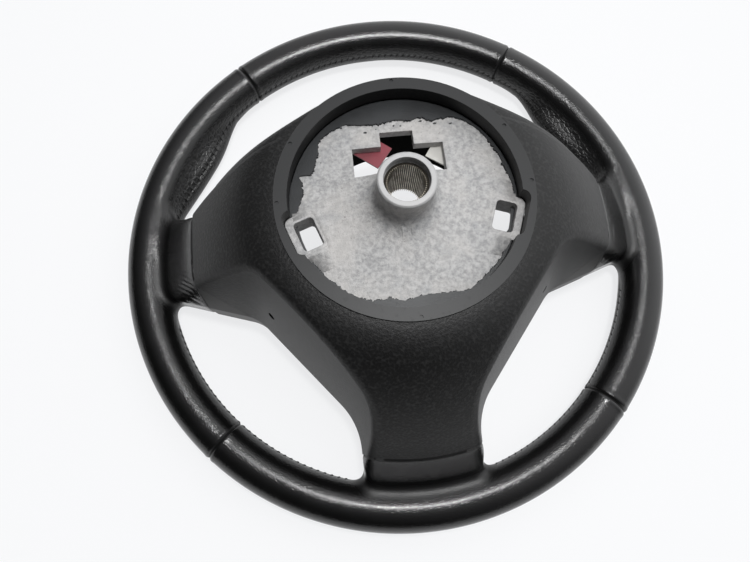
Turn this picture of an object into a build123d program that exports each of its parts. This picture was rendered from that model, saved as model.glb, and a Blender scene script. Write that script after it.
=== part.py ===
"""Three-spoke car steering wheel lying face down, with the airbag module taken out."""
import os
from math import cos, degrees, pi, radians, sin, tan

from build123d import *

os.makedirs("parts", exist_ok=True)

# Driving dimensions in mm. Z is the column axis, the rim lies on Z = 0 and the back of the wheel is up.
# Angles of the rim are counted from twelve o'clock, and the right half is described.

# Rim and leather
RIM_DIAMETER = 370.0
GRIP_DIAMETER = 28.0
CORE_WIDTH = 11.0
CORE_HEIGHT = 9.0
CORE_DRAFT = 82.0
LEATHER_THICKNESS = 1.3
SEAM_GAP = 0.4
UPPER_SEAM_ANGLE = 34.85
LOWER_SEAM_ANGLE = 134.07

# Thumb rests, which swell inwards above the side spokes
THUMB_ANGLE = 62.0
THUMB_REACH = 14.5
THUMB_DROP = 3.0
THUMB_RADIUS = 9.5
THUMB_END_RADIUS = 5.0
THUMB_HALF_LENGTH = 70.0

# Outer form of hub and spokes: place, height and downward slope of the dome. The place is first a radius, then
# a share of the way from that radius to the middle of the rim, then a distance from the middle of the rim.
HUB_DOME = (66.0, 103.4, 2.0)
SPOKE_DOME = ((0.3238, 88.8, 40.0), (0.6095, 58.0, 50.5))
RIM_DOME = ((-21.0, 18.5, 46.0), (-3.0, 4.5, 30.0))
SPOKE_FRONT_Z = 9.0
HUB_WALL_RADIUS = 72.0
CREST_RADIUS = 7.0

# Edges of the spokes: direction of the outward normal and distance from the column axis
UPPER_EDGE_NORMAL = 69.0
UPPER_EDGE_DISTANCE = 64.6
HUB_BLEND_RADIUS = 120.0
SIDE_EDGE_NORMAL = -71.6
SIDE_EDGE_DISTANCE = 73.2
FLANK_EDGE_NORMAL = -39.2
FLANK_EDGE_DISTANCE = 102.8
BOTTOM_SPOKE_HALF_WIDTH = 37.0
ARMPIT_RADIUS = 25.0
WAIST_RADIUS = 45.0
SKIRT_Z = 28.0
WALL_TAPER = 14.0

# Back cover
COVER_WALL = 2.5
COVER_SIDE_SETBACK = 44.0
COVER_BOTTOM_SETBACK = 31.0
COVER_GAP = 0.4
COVER_EDGE_Z = 26.0
COVER_EDGE_RISE = 30.0
COVER_EDGE_RISE_LENGTH = 30.0
COLLAR_OUTER_RADIUS = 70.7
COLLAR_INNER_RADIUS = 63.5
COLLAR_TOP_Z = 104.4
COLLAR_WALL_DEPTH = 9.6
COLLAR_WALL = 2.5
DIMPLE_ANGLES = (0.0, 30.0, 90.0, 150.0, 180.0, 270.0)
DIMPLE_RADIUS = 1.1
DIMPLE_DEPTH = 0.6
DIMPLE_INSET = 1.9
RELEASE_HOLE_RADIUS = 2.6
RELEASE_HOLE_POINT = (82.0, -49.5)
RELEASE_HOLE_Z = 55.0

# Cast armature
PLATE_RADIUS = 62.5
PLATE_EDGE_Z = 93.2
PLATE_CENTRE_Z = 97.3
PLATE_BOTTOM_Z = 89.5
SIDE_WINDOW_CENTRE = (54.0, -15.5)
SIDE_WINDOW_WIDTH = 11.6
SIDE_WINDOW_LENGTH = 17.6
SIDE_WINDOW_TILT = 20.0
EAR_BORDER = 4.0
EAR_TOP_Z = 94.6
EAR_FLANGE = 2.2
EAR_FRONT_Z = 81.0
WINDOW_CORNER = 2.2
TOP_WINDOW_HALF_WIDTH = 26.0
TOP_WINDOW_LOW = 15.2
TOP_WINDOW_HIGH = 33.0
NOTCH_HALF_WIDTH = 9.5
NOTCH_HIGH = 42.0
BOSS_RADIUS = 15.7
BOSS_TOP_Z = 119.3
BOSS_FLARE = 4.0
BOSS_CHAMFER = 0.8
BOSS_FRONT_RADIUS = 17.5
BOSS_FRONT_Z = 84.0
RIDGE_WIDTH = 2.4
RIDGE_SPACING = 5.2
RIDGE_LENGTH = 14.0
RIDGE_HEIGHT = 4.5
GUSSET_LENGTH = 7.0
GUSSET_WIDTH = 3.0
GUSSET_ANGLES = (-5.0, 185.0)
FRONT_RIB_WIDTH = 3.0
FRONT_RIB_DEPTH = 4.5
FRONT_RING_INSET = 0.5
ROOT = 1.0
FRONT_RIB_ANGLES = (14.0, 166.0, 222.0, 250.0, 290.0, 318.0)
BAR_THICKNESS = 6.5
HUB_BAR_PATH = ((50.0, 89.5), (74.0, 88.0))
RIM_BAR_PATH = ((-30.0, 13.0), (0.0, -2.0))
BAR_BENDS = (30.0, 60.0)
SIDE_BAR_WIDTH = 20.0
SIDE_BAR_ANGLE = -6.6
SIDE_BAR_OFFSET = 11.7
BOTTOM_BAR_WIDTH = 30.0

# Steel spline bush
BORE_RADIUS = 12.3
BUSH_RADIUS = 12.0
BUSH_SETBACK = 5.0
SPLINE_ROOT_RADIUS = 10.9
SPLINE_TIP_RADIUS = 10.1
SPLINE_TEETH = 56
SPLINE_TOOTH_SHARE = 0.55

# Foam moulding
FOAM_CLEARANCE = 0.3
POCKET_RADIUS = 98.0
SLEEVE_THICKNESS = 1.5
SKIN_THICKNESS = 1.0
SKIN_LIP = 0.6
# Ragged edge left where the skin was trimmed off the plate: angle and width that is left
SKIN_EDGE = (
    (-145, 1.2), (-129, 0.9), (-116, 1.9), (-111, 2.4), (-104, 5.8), (-94, 5.2), (-90, 7.2), (-82, 7.4),
    (-72, 5.0), (-63, 1.3), (-45, 0.9), (-30, 0.8), (2, 0.8), (13, 2.2), (24, 1.6), (38, 0.8), (49, 1.6),
    (55, 3.2), (61, 6.8), (66, 11.4), (73, 10.2), (79, 13.8), (90, 13.6), (101, 14.4), (113, 11.0),
    (120, 6.0), (129, 3.4), (138, 3.0), (143, 6.4), (152, 9.0), (159, 8.8), (161, 2.8), (169, 6.2),
    (175, 6.0), (182, 3.6), (190, 0.8),
)

# Front trims of the spokes
TRIM_THICKNESS = 2.5
TRIM_GAP = 0.3

# Cover screws
SCREW_DISTANCE = 86.0
PAD_RADIUS = 5.5
PAD_TOP_Z = 86.5
PAD_BOTTOM_Z = 68.0
POST_RADIUS = 4.2
SCREW_RADIUS = 2.0
SCREW_CLEARANCE = 0.3
SCREW_GRIP = 6.0
SCREW_HEAD_RADIUS = 4.2
SCREW_HEAD_HEIGHT = 2.8
SCREW_SOCKET_WIDTH = 3.6
SCREW_SOCKET_DEPTH = 1.6
TOOL_CLEARANCE = 1.2

# Wire springs that hold the airbag module
SPRING_WIRE_RADIUS = 1.25
SPRING_CLEARANCE = 0.1
SPRING_DISTANCE = 75.0
SPRING_SIDE_OFFSET = 6.0
SPRING_BOTTOM_OFFSET = 9.0
SPRING_TOP_Z = 85.0
SPRING_LOW_Z = 64.0

# Tags under the plate: corner seen through the window, direction of the first side, and the two sides
TAG_THICKNESS = 1.0
RED_TAG_CORNER = (-12.0, 22.6)
RED_TAG_ANGLE = 52.0
RED_TAG_SIZE = (15.0, 17.0)
PALE_TAG_CORNER = (16.0, 27.9)
PALE_TAG_ANGLE = -35.0
PALE_TAG_SIZE = (16.0, 13.0)

# Worked out from the driving dimensions
RIM_RADIUS = (RIM_DIAMETER - GRIP_DIAMETER) / 2
RIM_Z = GRIP_DIAMETER / 2
TOP_Z = BOSS_TOP_Z + GRIP_DIAMETER
FAR = RIM_DIAMETER
WALL_RUN = tan(radians(WALL_TAPER))
BUSH_TOP_Z = BOSS_TOP_Z - BUSH_SETBACK
SKIN_RADIUS = PLATE_RADIUS + SKIN_LIP
DOME = (
    (HUB_DOME,)
    + tuple((HUB_DOME[0] + (RIM_RADIUS - HUB_DOME[0]) * r, z, slope) for r, z, slope in SPOKE_DOME)
    + tuple((RIM_RADIUS + r, RIM_Z + z, slope) for r, z, slope in RIM_DOME)
)
COVER_HALF_WIDTH = RIM_RADIUS - COVER_SIDE_SETBACK
COVER_END_RADIUS = RIM_RADIUS - COVER_BOTTOM_SETBACK
BAR_PATH = HUB_BAR_PATH + tuple((RIM_RADIUS + r, RIM_Z + z) for r, z in RIM_BAR_PATH)
SIDES = (1, -1)


def direction(angle):
    """Unit vector in plan at an angle from +X."""
    return Vector(cos(radians(angle)), sin(radians(angle)))


def upright_plane(angle):
    """Vertical plane through the column axis, with its X pointing outwards at an angle from +X."""
    outward = direction(angle)
    return Plane((0, 0, 0), x_dir=(outward.X, outward.Y, 0), z_dir=(outward.Y, -outward.X, 0))


def on_side_bar(distance, offset, side):
    """Plan point on a side bar, at a distance along it and an offset across it."""
    along = direction(SIDE_BAR_ANGLE) * distance
    across = direction(SIDE_BAR_ANGLE + 90) * offset
    return (side * (along.X + across.X), along.Y + across.Y)


def rim_direction(angle):
    """Unit vector in plan at an angle clockwise from twelve o'clock."""
    return direction(90.0 - angle)


def crossing(first, second):
    """Point where two plan lines meet, each given by its unit normal and distance from the axis."""
    (n1, d1), (n2, d2) = first, second
    det = n1.X * n2.Y - n1.Y * n2.X
    return ((d1 * n2.Y - d2 * n1.Y) / det, (n1.X * d2 - n2.X * d1) / det)


def lower_edge_outline(grow):
    """Plan outline of the right lower opening, moved into the spokes by grow."""
    side = (direction(SIDE_EDGE_NORMAL), SIDE_EDGE_DISTANCE - grow)
    flank = (direction(FLANK_EDGE_NORMAL), FLANK_EDGE_DISTANCE - grow)
    bottom = (Vector(1, 0), BOTTOM_SPOKE_HALF_WIDTH - grow)
    outer_end = crossing(side, (Vector(1, 0), FAR))
    low_end = (BOTTOM_SPOKE_HALF_WIDTH - grow, -FAR)
    with BuildLine() as outline:
        edge = FilletPolyline(
            outer_end,
            crossing(side, flank),
            crossing(flank, bottom),
            low_end,
            radius=[ARMPIT_RADIUS, WAIST_RADIUS],
        )
        Polyline(edge @ 1, (FAR, -FAR), edge @ 0)
    return outline.line


def lower_opening(inset):
    """Space between the right side spoke and the bottom spoke, which widens towards the back."""
    with BuildPart() as opening:
        for height in (SKIRT_Z, TOP_Z):
            with BuildSketch(Plane.XY.offset(height)):
                add(lower_edge_outline(inset + (height - SKIRT_Z) * WALL_RUN))
                make_face()
        loft(ruled=True)
        with BuildSketch(Plane.XY.offset(SKIRT_Z)):
            add(lower_edge_outline(inset))
            make_face()
        extrude(amount=-SKIRT_Z)
    return opening.part


def upper_opening(inset):
    """Space above the two side spokes and round the top of the hub."""
    hub_radius = HUB_WALL_RADIUS - inset
    edge = (direction(UPPER_EDGE_NORMAL), UPPER_EDGE_DISTANCE - inset)
    peak = crossing(edge, (Vector(1, 0), 0))
    end = crossing(edge, (Vector(1, 0), FAR))
    with BuildPart() as opening:
        with BuildSketch() as outline:
            Polygon(peak, end, (FAR, FAR), (-FAR, FAR), (-end[0], end[1]), align=None)
            Circle(hub_radius, mode=Mode.SUBTRACT)
            corners = outline.vertices().filter_by(lambda v: Vector(v.X, v.Y).length < hub_radius + 1)
            fillet(corners, HUB_BLEND_RADIUS)
        extrude(amount=TOP_Z)
    return opening.part


def is_crest(edge):
    """True for an edge of the dome that a wall meets, which leaves out the hub circle and the seam."""
    middle = edge @ 0.5
    on_seam = abs(middle.X) < 0.01 and middle.Y < 0
    return not on_seam and Vector(middle.X, middle.Y).length > HUB_DOME[0] + 0.01


def spoke_form(inset, rolled):
    """Form of hub and spokes, moved inwards by inset, with its back edges sharp or rolled over."""
    points = [(r - inset * sin(radians(a)), z - inset * cos(radians(a))) for r, z, a in DOME]
    slopes = [(cos(radians(a)), -sin(radians(a))) for r, z, a in DOME]
    front_z = SPOKE_FRONT_Z + inset
    with BuildPart() as form:
        with BuildSketch(upright_plane(-90)):
            with BuildLine():
                dome = Spline(*points, tangents=slopes)
                Polyline(dome @ 1, (points[-1][0], front_z), (0, front_z), (0, points[0][1]), dome @ 0)
            make_face()
        revolve(axis=Axis.Z)
        add(upper_opening(inset), mode=Mode.SUBTRACT)
        right = lower_opening(inset)
        add(right, mode=Mode.SUBTRACT)
        add(right.mirror(Plane.YZ), mode=Mode.SUBTRACT)
        if rolled:
            back = form.faces().filter_by(GeomType.REVOLUTION).sort_by(SortBy.AREA)[-1]
            fillet(back.edges().filter_by(is_crest), CREST_RADIUS - inset)
    return form.part


def thumb_rest(inset, side):
    """Barrel-shaped swelling of the grip above a side spoke, whose ends run out inside the rim."""
    centre = rim_direction(side * THUMB_ANGLE) * (RIM_RADIUS - GRIP_DIAMETER / 2 - THUMB_REACH + THUMB_RADIUS)
    along = rim_direction(side * THUMB_ANGLE + 90.0)
    plane = Plane((centre.X, centre.Y, RIM_Z - THUMB_DROP), x_dir=(along.X, along.Y, 0), z_dir=(0, 0, 1))
    with BuildPart() as swelling:
        with BuildSketch(plane):
            with BuildLine():
                barrel = ThreePointArc(
                    (-THUMB_HALF_LENGTH, THUMB_END_RADIUS - inset),
                    (0, THUMB_RADIUS - inset),
                    (THUMB_HALF_LENGTH, THUMB_END_RADIUS - inset),
                )
                Polyline(barrel @ 1, (THUMB_HALF_LENGTH, 0), (-THUMB_HALF_LENGTH, 0), barrel @ 0)
            make_face()
        revolve(axis=Axis(plane.origin, plane.x_dir))
    return swelling.part


def grip(inset):
    """Round rim with its thumb rests, moved inwards by inset."""
    with BuildPart() as ring:
        with BuildSketch(Plane.XZ):
            with Locations((RIM_RADIUS, RIM_Z)):
                Circle(GRIP_DIAMETER / 2 - inset)
        revolve(axis=Axis.Z)
        for side in SIDES:
            add(thumb_rest(inset, side))
    return ring.part


def cover_zone(gap):
    """Middle of the wheel that the back cover takes up, widened by gap."""
    with BuildPart() as zone:
        with BuildSketch():
            Circle(COVER_END_RADIUS + gap)
            Rectangle(2 * (COVER_HALF_WIDTH + gap), 2 * FAR, mode=Mode.INTERSECT)
        extrude(amount=TOP_Z)
    return zone.part


def under_cover_edge(gap):
    """Space in front of the cover's edge, which rises towards the ends of the side spokes."""
    rise_start = COVER_HALF_WIDTH - COVER_EDGE_RISE_LENGTH
    low_z = COVER_EDGE_Z - gap
    end_z = low_z + COVER_EDGE_RISE / COVER_EDGE_RISE_LENGTH * (FAR - rise_start)
    with BuildPart() as space:
        with BuildSketch(Plane.XZ):
            Polygon(
                (-FAR, 0), (FAR, 0), (FAR, end_z), (rise_start, low_z), (-rise_start, low_z), (-FAR, end_z),
                align=None,
            )
        extrude(amount=FAR, both=True)
    return space.part


def sector(start, end):
    """Wedge of space between two rim angles, held back by half a seam at each side."""
    hold = degrees(SEAM_GAP / 2 / RIM_RADIUS)
    corners = [rim_direction(start + hold + (end - start - 2 * hold) * share) * FAR for share in (0, 0.5, 1)]
    with BuildPart() as wedge:
        with BuildSketch():
            Polygon((0, 0), *[(c.X, c.Y) for c in corners], align=None)
        extrude(amount=TOP_Z)
    return wedge.part


def side_windows(border):
    """Plan outline of the two side windows, widened by a border."""
    width = SIDE_WINDOW_WIDTH + 2 * border
    length = SIDE_WINDOW_LENGTH + 2 * border
    with BuildSketch() as outline:
        for side in SIDES:
            with Locations((side * SIDE_WINDOW_CENTRE[0], SIDE_WINDOW_CENTRE[1])):
                RectangleRounded(width, length, WINDOW_CORNER + border / 2, rotation=-side * SIDE_WINDOW_TILT)
    return outline.sketch


def spoke_bars(layer):
    """Three bars from the plate to the rim core, grown by a layer all round."""
    with BuildPart() as bars:
        for angle, offset, width in (
            (SIDE_BAR_ANGLE, SIDE_BAR_OFFSET, SIDE_BAR_WIDTH),
            (180 - SIDE_BAR_ANGLE, -SIDE_BAR_OFFSET, SIDE_BAR_WIDTH),
            (-90.0, 0.0, BOTTOM_BAR_WIDTH),
        ):
            half_width = width / 2 + layer
            with BuildSketch(upright_plane(angle).offset(-offset - half_width)):
                with BuildLine():
                    FilletPolyline(*BAR_PATH, radius=list(BAR_BENDS))
                trace(line_width=BAR_THICKNESS + 2 * layer)
            extrude(amount=2 * half_width)
    return bars.part


def finish(builder, name):
    """Label a finished piece and write it out."""
    builder.part.label = name
    export_step(builder.part, f"parts/{name}.step")


SCREW_POINTS = (
    on_side_bar(SCREW_DISTANCE, SIDE_BAR_OFFSET, 1),
    on_side_bar(SCREW_DISTANCE, SIDE_BAR_OFFSET, -1),
    (0.0, -SCREW_DISTANCE),
)
SPRING_ENDS = [
    (on_side_bar(SPRING_DISTANCE, SPRING_SIDE_OFFSET, side), (side * SPRING_BOTTOM_OFFSET, -SPRING_DISTANCE))
    for side in SIDES
]

# Shared forms
outer_form = spoke_form(0, rolled=True)
leather_outer_form = spoke_form(0, rolled=False)
leather_inner_form = spoke_form(LEATHER_THICKNESS, rolled=False)
foam_end_form = spoke_form(LEATHER_THICKNESS, rolled=True)
cover_inner_form = spoke_form(COVER_WALL, rolled=False)
foam_form = spoke_form(COVER_WALL + FOAM_CLEARANCE, rolled=False)
grip_outer = grip(0)
grip_inner = grip(LEATHER_THICKNESS)

# Die-cast armature: hub plate, boss, three bars and rim core in one piece
with BuildPart() as armature:
    with BuildSketch(Plane.XZ):
        with Locations((RIM_RADIUS, RIM_Z)):
            Trapezoid(CORE_WIDTH, CORE_HEIGHT, CORE_DRAFT)
    revolve(axis=Axis.Z)
    add(spoke_bars(0))
    with BuildSketch(Plane.XZ):
        Polygon(
            (0, PLATE_BOTTOM_Z), (PLATE_RADIUS, PLATE_BOTTOM_Z), (PLATE_RADIUS, PLATE_EDGE_Z),
            (0, PLATE_CENTRE_Z), align=None,
        )
    revolve(axis=Axis.Z)
    with BuildSketch(Plane.XY.offset(PLATE_BOTTOM_Z)):
        add(side_windows(EAR_BORDER))
    extrude(amount=EAR_TOP_Z - PLATE_BOTTOM_Z)
    with BuildSketch(Plane.XY.offset(EAR_FRONT_Z)):
        add(side_windows(EAR_FLANGE))
    extrude(amount=PLATE_BOTTOM_Z + ROOT - EAR_FRONT_Z)
    with BuildSketch(Plane.XY.offset(PLATE_BOTTOM_Z - FRONT_RIB_DEPTH)):
        Circle(PLATE_RADIUS - FRONT_RING_INSET)
        Circle(PLATE_RADIUS - FRONT_RIB_WIDTH, mode=Mode.SUBTRACT)
    extrude(amount=FRONT_RIB_DEPTH + ROOT)
    with BuildSketch(Plane.XY.offset(PLATE_BOTTOM_Z - FRONT_RIB_DEPTH)):
        for angle in FRONT_RIB_ANGLES:
            with Locations(direction(angle) * (PLATE_RADIUS / 2)):
                Rectangle(PLATE_RADIUS - FRONT_RIB_WIDTH, FRONT_RIB_WIDTH, rotation=angle)
    extrude(amount=FRONT_RIB_DEPTH + ROOT)
    with BuildSketch(Plane.XY.offset(PAD_BOTTOM_Z)):
        with Locations(*SCREW_POINTS):
            Circle(PAD_RADIUS)
    extrude(amount=PAD_TOP_Z - PAD_BOTTOM_Z)
    with BuildSketch(Plane.XY.offset(TOP_Z)):
        add(side_windows(0))
        with BuildLine():
            Polyline(
                (-TOP_WINDOW_HALF_WIDTH, TOP_WINDOW_LOW), (TOP_WINDOW_HALF_WIDTH, TOP_WINDOW_LOW),
                (TOP_WINDOW_HALF_WIDTH, TOP_WINDOW_HIGH), (NOTCH_HALF_WIDTH, TOP_WINDOW_HIGH),
                (NOTCH_HALF_WIDTH, NOTCH_HIGH), (-NOTCH_HALF_WIDTH, NOTCH_HIGH),
                (-NOTCH_HALF_WIDTH, TOP_WINDOW_HIGH), (-TOP_WINDOW_HALF_WIDTH, TOP_WINDOW_HIGH), close=True,
            )
        make_face()
    extrude(amount=EAR_FRONT_Z - TOP_Z, mode=Mode.SUBTRACT)
    flare_radius = BOSS_RADIUS + BOSS_FLARE
    with BuildSketch(Plane.XZ):
        with BuildLine():
            Polyline(
                (0, BOSS_FRONT_Z), (BOSS_FRONT_RADIUS, BOSS_FRONT_Z), (BOSS_FRONT_RADIUS, PLATE_BOTTOM_Z),
                (flare_radius, PLATE_BOTTOM_Z), (flare_radius, PLATE_CENTRE_Z - ROOT),
                (BOSS_RADIUS, PLATE_CENTRE_Z - ROOT + BOSS_FLARE), (BOSS_RADIUS, BOSS_TOP_Z - BOSS_CHAMFER),
                (BOSS_RADIUS - BOSS_CHAMFER, BOSS_TOP_Z), (0, BOSS_TOP_Z), close=True,
            )
        make_face()
    revolve(axis=Axis.Z)
    ridge_start = -BOSS_RADIUS + ROOT
    for side in SIDES:
        with BuildSketch(Plane.YZ.offset(side * RIDGE_SPACING / 2 - RIDGE_WIDTH / 2)):
            Polygon(
                (ridge_start, PLATE_BOTTOM_Z), (ridge_start, PLATE_CENTRE_Z + RIDGE_HEIGHT),
                (ridge_start - RIDGE_LENGTH, PLATE_EDGE_Z), (ridge_start - RIDGE_LENGTH, PLATE_BOTTOM_Z),
                align=None,
            )
        extrude(amount=RIDGE_WIDTH)
    for angle in GUSSET_ANGLES:
        with BuildSketch(upright_plane(angle).offset(-GUSSET_WIDTH / 2)):
            Polygon(
                (BOSS_RADIUS - ROOT, PLATE_BOTTOM_Z), (BOSS_RADIUS - ROOT, PLATE_CENTRE_Z + GUSSET_LENGTH),
                (BOSS_RADIUS + GUSSET_LENGTH, PLATE_EDGE_Z), (BOSS_RADIUS + GUSSET_LENGTH, PLATE_BOTTOM_Z),
                align=None,
            )
        extrude(amount=GUSSET_WIDTH)
    with BuildSketch(Plane.XY.offset(BOSS_TOP_Z)):
        Circle(BORE_RADIUS)
    extrude(amount=-BUSH_SETBACK, mode=Mode.SUBTRACT)
    with BuildSketch(Plane.XY.offset(BUSH_TOP_Z)):
        Circle(BUSH_RADIUS)
    extrude(amount=BOSS_FRONT_Z - BUSH_TOP_Z, mode=Mode.SUBTRACT)
    with BuildSketch(Plane.XY.offset(PAD_TOP_Z)):
        with Locations(*SCREW_POINTS):
            Circle(SCREW_RADIUS + SCREW_CLEARANCE)
    extrude(amount=PAD_BOTTOM_Z - PAD_TOP_Z, mode=Mode.SUBTRACT)
    with BuildSketch(Plane.XY.offset(SPRING_LOW_Z)):
        for ends in SPRING_ENDS:
            with Locations(*ends):
                Circle(SPRING_WIRE_RADIUS + SPRING_CLEARANCE)
    extrude(amount=SPRING_TOP_Z + SPRING_CLEARANCE - SPRING_LOW_Z, mode=Mode.SUBTRACT)
finish(armature, "armature")

# Steel bush with the column spline, set back from the mouth of the boss
with BuildPart() as spline_bush:
    with BuildSketch(Plane.XY.offset(BOSS_FRONT_Z)):
        Circle(BUSH_RADIUS)
        Circle(SPLINE_ROOT_RADIUS, mode=Mode.SUBTRACT)
        tooth_width = 2 * pi * SPLINE_ROOT_RADIUS / SPLINE_TEETH * SPLINE_TOOTH_SHARE
        tooth_depth = SPLINE_ROOT_RADIUS - SPLINE_TIP_RADIUS
        with PolarLocations(SPLINE_TIP_RADIUS, SPLINE_TEETH):
            Polygon(
                (0, tooth_width / 4), (0, -tooth_width / 4), (2 * tooth_depth, -tooth_width / 2),
                (2 * tooth_depth, tooth_width / 2), align=None,
            )
    extrude(amount=BUSH_TOP_Z - BOSS_FRONT_Z)
finish(spline_bush, "spline_bush")

# Posts inside the cover, which end within its wall
with BuildPart() as screw_posts:
    with BuildSketch(Plane.XY.offset(PAD_TOP_Z)):
        with Locations(*SCREW_POINTS):
            Circle(POST_RADIUS)
    extrude(amount=TOP_Z - PAD_TOP_Z)
    add(leather_inner_form, mode=Mode.INTERSECT)
    with BuildSketch(Plane.XY.offset(PAD_TOP_Z)):
        with Locations(*SCREW_POINTS):
            Circle(SCREW_RADIUS)
    extrude(amount=SCREW_GRIP + SCREW_CLEARANCE, mode=Mode.SUBTRACT)

# Back cover: moulded shell with the collar round the hub, screw posts and release holes
with BuildPart() as back_cover:
    add(outer_form)
    add(cover_inner_form, mode=Mode.SUBTRACT)
    add(cover_zone(0), mode=Mode.INTERSECT)
    add(under_cover_edge(0), mode=Mode.SUBTRACT)
    add(screw_posts.part)
    with BuildSketch(Plane.XY.offset(COLLAR_TOP_Z)):
        Circle(COLLAR_OUTER_RADIUS)
    extrude(amount=-COVER_WALL)
    with BuildSketch(Plane.XY.offset(COLLAR_TOP_Z)):
        add(side_windows(EAR_BORDER + COVER_GAP + COLLAR_WALL))
        Circle(COLLAR_INNER_RADIUS + COLLAR_WALL)
        Circle(COLLAR_OUTER_RADIUS, mode=Mode.INTERSECT)
    extrude(amount=-COLLAR_WALL_DEPTH)
    with BuildSketch(Plane.XY.offset(COLLAR_TOP_Z)):
        Circle(COLLAR_INNER_RADIUS)
        add(side_windows(EAR_BORDER + COVER_GAP))
    extrude(amount=-COLLAR_WALL_DEPTH, mode=Mode.SUBTRACT)
    with BuildSketch(Plane.XY.offset(COLLAR_TOP_Z)):
        for angle in DIMPLE_ANGLES:
            with Locations(direction(angle) * (COLLAR_OUTER_RADIUS - DIMPLE_INSET)):
                Circle(DIMPLE_RADIUS)
    extrude(amount=-DIMPLE_DEPTH, mode=Mode.SUBTRACT)
    for side in SIDES:
        outward = direction(FLANK_EDGE_NORMAL)
        hole_plane = Plane(
            (side * RELEASE_HOLE_POINT[0], RELEASE_HOLE_POINT[1], RELEASE_HOLE_Z),
            z_dir=(side * outward.X, outward.Y, WALL_RUN),
        )
        with BuildSketch(hole_plane):
            Circle(RELEASE_HOLE_RADIUS)
        extrude(amount=4 * CREST_RADIUS, both=True, mode=Mode.SUBTRACT)
finish(back_cover, "back_cover")

# Front trims: one plate on each spoke, between the pocket and the leather
with BuildPart() as trims:
    add(outer_form)
    with BuildSketch(Plane.XY.offset(SPOKE_FRONT_Z)):
        Circle(FAR)
    extrude(amount=TRIM_THICKNESS, mode=Mode.INTERSECT)
    add(cover_zone(-TRIM_GAP), mode=Mode.INTERSECT)
    with BuildSketch():
        Circle(POCKET_RADIUS)
    extrude(amount=TOP_Z, mode=Mode.SUBTRACT)

# Pocket of the airbag module
with BuildPart() as pocket:
    with BuildSketch():
        Circle(POCKET_RADIUS)
    extrude(amount=TOP_Z)

# Space that the trims take up in front of the foam
with BuildPart() as trim_space:
    add(cover_zone(0))
    with BuildSketch():
        Circle(FAR)
    extrude(amount=SPOKE_FRONT_Z + TRIM_THICKNESS, mode=Mode.INTERSECT)

# Spoke sides that show in front of the cover's edge
with BuildPart() as spoke_sides:
    add(outer_form)
    add(cover_zone(0), mode=Mode.INTERSECT)
    add(under_cover_edge(FOAM_CLEARANCE), mode=Mode.INTERSECT)
    add(pocket.part, mode=Mode.SUBTRACT)
    add(trim_space.part, mode=Mode.SUBTRACT)

# Spoke cores under the cover
with BuildPart() as spoke_cores:
    add(foam_form)
    add(pocket.part, mode=Mode.SUBTRACT)
    add(trim_space.part, mode=Mode.SUBTRACT)

# Spoke ends that the leather covers
with BuildPart() as spoke_ends:
    add(foam_end_form)
    add(cover_zone(COVER_GAP), mode=Mode.SUBTRACT)

# Layer round the bars where they cross the pocket
with BuildPart() as bar_layer:
    add(spoke_bars(SLEEVE_THICKNESS))
    with BuildSketch():
        Circle(POCKET_RADIUS + COVER_WALL)
        Circle(PLATE_RADIUS - SKIN_LIP, mode=Mode.SUBTRACT)
    extrude(amount=TOP_Z, mode=Mode.INTERSECT)

# Skin on the edge of the plate, with the ragged edge left by the trimming knife
with BuildPart() as hub_skin:
    with BuildSketch(Plane.XZ):
        Polygon(
            (0, PLATE_BOTTOM_Z), (SKIN_RADIUS, PLATE_BOTTOM_Z), (SKIN_RADIUS, PLATE_EDGE_Z + SKIN_THICKNESS),
            (0, PLATE_CENTRE_Z + SKIN_THICKNESS), align=None,
        )
    revolve(axis=Axis.Z)
    with BuildSketch(Plane.XY.offset(PLATE_BOTTOM_Z)):
        Polygon(*[direction(angle) * (SKIN_RADIUS - width) for angle, width in SKIN_EDGE], align=None)
        add(side_windows(EAR_BORDER))
    extrude(amount=TOP_Z, mode=Mode.SUBTRACT)

# Foam moulding: rim, spokes, layers round the bars and the skin on the edge of the plate
with BuildPart() as foam_moulding:
    add(grip_inner)
    add(spoke_ends.part)
    add(spoke_cores.part)
    add(spoke_sides.part)
    add(bar_layer.part)
    add(hub_skin.part)
    add(armature.part, mode=Mode.SUBTRACT)
    with BuildSketch(Plane.XY.offset(SPRING_LOW_Z)):
        with Locations(*SCREW_POINTS):
            Circle(PAD_RADIUS + TOOL_CLEARANCE)
        for ends in SPRING_ENDS:
            with Locations(*ends):
                Circle(SPRING_WIRE_RADIUS + TOOL_CLEARANCE)
    extrude(amount=TOP_Z, mode=Mode.SUBTRACT)
finish(foam_moulding, "foam_moulding")

# Leather on the spoke ends, from the cover to the rim
with BuildPart() as spoke_leather:
    add(leather_outer_form)
    add(cover_zone(COVER_GAP), mode=Mode.SUBTRACT)
    add(leather_inner_form, mode=Mode.SUBTRACT)
    add(grip_outer, mode=Mode.SUBTRACT)

# Leather cover of the rim, open where the spokes meet it
with BuildPart() as leather:
    add(grip_outer)
    add(leather_inner_form, mode=Mode.SUBTRACT)
    add(grip_inner, mode=Mode.SUBTRACT)

# Panels between the four seams of the rim
for name, start, end in (
    ("top", -UPPER_SEAM_ANGLE, UPPER_SEAM_ANGLE),
    ("right", UPPER_SEAM_ANGLE, LOWER_SEAM_ANGLE),
    ("bottom", LOWER_SEAM_ANGLE, 360 - LOWER_SEAM_ANGLE),
    ("left", -LOWER_SEAM_ANGLE, -UPPER_SEAM_ANGLE),
):
    wedge = sector(start, end)
    with BuildPart() as panel:
        add(leather.part)
        add(wedge, mode=Mode.INTERSECT)
    finish(panel, f"leather_{name}")
    if name != "top":
        with BuildPart() as flap:
            add(spoke_leather.part)
            add(wedge, mode=Mode.INTERSECT)
        finish(flap, f"spoke_leather_{name}")
        with BuildPart() as trim:
            add(trims.part)
            add(wedge, mode=Mode.INTERSECT)
        finish(trim, f"spoke_trim_{name}")

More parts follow.
